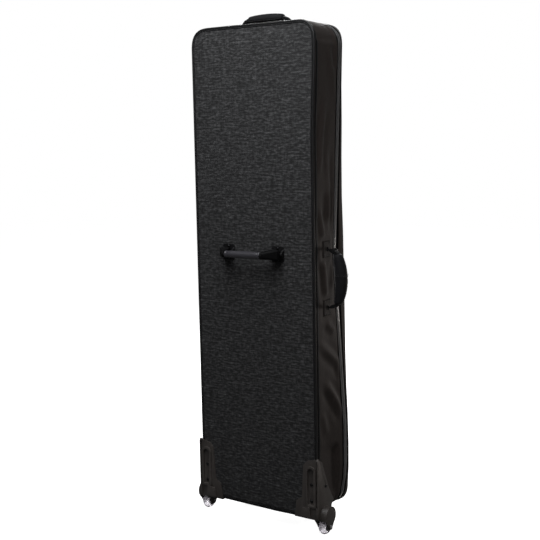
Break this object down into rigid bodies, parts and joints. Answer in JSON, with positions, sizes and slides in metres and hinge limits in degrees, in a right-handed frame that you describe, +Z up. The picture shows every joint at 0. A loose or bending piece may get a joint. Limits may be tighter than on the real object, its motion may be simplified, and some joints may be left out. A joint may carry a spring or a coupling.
{
  "type": "wheeled padded keyboard bag",
  "caption": "Upright padded gig bag for a stage piano, with a zipped lid, corner wheels in moulded guards, stand feet and padded carry handles.",
  "frame": {"origin": "middle of the footprint box, on the floor that the wheels and stand feet rest on", "axes": "+Z up along the bag, -Y out of the back panel with the wheels, +Y out of the lid, +X towards the side handle"},
  "size_m": [0.498, 0.2488, 1.4695],
  "materials": {
    "cover_cloth": "coarse woven nylon",
    "wall_cloth": "soft woven nylon",
    "piping": "smooth binding",
    "foam": "closed-cell foam",
    "lining": "brushed lining",
    "board": "plain",
    "zip_tape": "woven tape",
    "zip_teeth": "coil",
    "slider_metal": "satin",
    "pull_metal": "satin",
    "wheel_polyurethane": "translucent",
    "hub_plastic": "moulded",
    "steel": "satin",
    "dark_steel": "black",
    "guard_plastic": "moulded, fine grain",
    "moulded_plastic": "moulded",
    "sole_rubber": "matte",
    "webbing": "woven webbing",
    "grip_pad": "padded sleeve",
    "moulded_rubber": "matte",
    "grip_rubber": "satin"
  },
  "bodies": {
    "bag_base": {"back_panel_cover": "cover_cloth", "back_panel_board": "board", "back_panel_foam": "foam", "panel_piping": "piping", "main_gusset": "wall_cloth", "wall_foam_right": "foam", "wall_foam_left": "foam", "wall_foam_top": "foam", "wall_foam_bottom": "foam", "base_lining": "lining", "base_zip_tape": "zip_tape", "base_zip_teeth": "zip_teeth", "hinge_cord": "piping", "wheel_axle_right": "steel", "wheel_axle_left": "steel", "wheel_guard_right": "guard_plastic", "wheel_guard_left": "guard_plastic", "guard_screws": "dark_steel", "stand_foot_left": "moulded_plastic", "stand_foot_right": "moulded_plastic", "foot_pad_left": "sole_rubber", "foot_pad_right": "sole_rubber", "foot_screws": "dark_steel", "top_handle_patches": "webbing", "side_handle_patches": "webbing", "panel_bracket_left": "moulded_plastic", "panel_bracket_right": "moulded_plastic", "panel_handle_pins": "steel", "bracket_screws": "steel", "tie_strap_upper": "webbing", "tie_strap_lower": "webbing", "tie_buckles": "moulded_plastic"},
    "lid": {"lid_cover": "cover_cloth", "lid_piping": "piping", "lid_gusset": "wall_cloth", "lid_foam": "foam", "lid_lining": "lining", "lid_zip_tape": "zip_tape", "lid_zip_teeth": "zip_teeth", "pocket_panel": "cover_cloth", "pocket_zip_tape": "zip_tape", "pocket_zip_teeth": "zip_teeth"},
    "wheel_left": {"wheel_tyre_left": "wheel_polyurethane", "wheel_hub_left": "hub_plastic", "wheel_bearings_left": "steel"},
    "wheel_right": {"wheel_tyre_right": "wheel_polyurethane", "wheel_hub_right": "hub_plastic", "wheel_bearings_right": "steel"},
    "top_handle": {"top_handle_webbing": "webbing", "top_handle_grip": "grip_pad"},
    "side_handle": {"side_handle_webbing": "webbing", "side_handle_grip": "grip_pad"},
    "panel_handle": {"panel_handle_strap": "moulded_rubber", "panel_handle_grip": "grip_rubber"},
    "zip_slider_upper": {"zip_slider_upper": "slider_metal"},
    "zip_slider_lower": {"zip_slider_lower": "slider_metal"},
    "zip_pull_upper": {"zip_pull_upper": "pull_metal"},
    "zip_pull_lower": {"zip_pull_lower": "pull_metal"},
    "pocket_slider": {"pocket_slider": "slider_metal"},
    "pocket_pull": {"pocket_pull": "pull_metal"}
  },
  "joints": [
    {"name": "lid_hinge", "type": "hinge", "parent": "bag_base", "child": "lid", "pos_m": [-0.2236, 0.06755, 0.742], "axis": [0, 0, 1], "range_deg": [0, 180]},
    {"name": "wheel_left_spin", "type": "hinge", "parent": "bag_base", "child": "wheel_left", "pos_m": [-0.227, -0.02895, 0.0245], "axis": [1, 0, 0], "continuous": true},
    {"name": "wheel_right_spin", "type": "hinge", "parent": "bag_base", "child": "wheel_right", "pos_m": [0.185, -0.02895, 0.0245], "axis": [1, 0, 0], "continuous": true},
    {"name": "top_handle_swing", "type": "hinge", "parent": "bag_base", "child": "top_handle", "pos_m": [-0.021, 0.02755, 1.4368], "axis": [1, 0, 0], "range_deg": [-28, 28], "stiffness_Nm_per_rad": 0.1},
    {"name": "side_handle_swing", "type": "hinge", "parent": "bag_base", "child": "side_handle", "pos_m": [0.1858, 0.00155, 0.73], "axis": [0, 0, 1], "range_deg": [-40, 40], "stiffness_Nm_per_rad": 0.2},
    {"name": "panel_handle_swing", "type": "hinge", "parent": "bag_base", "child": "panel_handle", "pos_m": [-0.021, -0.07045, 0.7985], "axis": [1, 0, 0], "range_deg": [-50, 50], "stiffness_Nm_per_rad": 1.5, "springref_deg": -1.15},
    {"name": "zip_slider_upper_travel", "type": "slide", "parent": "bag_base", "child": "zip_slider_upper", "axis": [0.0406, 0, 0.9992], "range_m": [0, 0.55]},
    {"name": "zip_slider_lower_travel", "type": "slide", "parent": "bag_base", "child": "zip_slider_lower", "axis": [0.0624, 0, -0.9981], "range_m": [0, 0.44]},
    {"name": "zip_pull_upper_flip", "type": "hinge", "parent": "zip_slider_upper", "child": "zip_pull_upper", "pos_m": [0.17555, 0.06755, 0.80276], "axis": [0, -1, 0], "range_deg": [0, 120]},
    {"name": "zip_pull_lower_flip", "type": "hinge", "parent": "zip_slider_lower", "child": "zip_pull_lower", "pos_m": [0.17513, 0.06755, 0.77536], "axis": [0, -1, 0], "range_deg": [0, 120]},
    {"name": "pocket_slider_travel", "type": "slide", "parent": "lid", "child": "pocket_slider", "axis": [0, 0, 1], "range_m": [0, 0.55]},
    {"name": "pocket_pull_flip", "type": "hinge", "parent": "pocket_slider", "child": "pocket_pull", "pos_m": [0.084, 0.12265, 0.471], "axis": [1, 0, 0], "range_deg": [0, 120]}
  ]
}
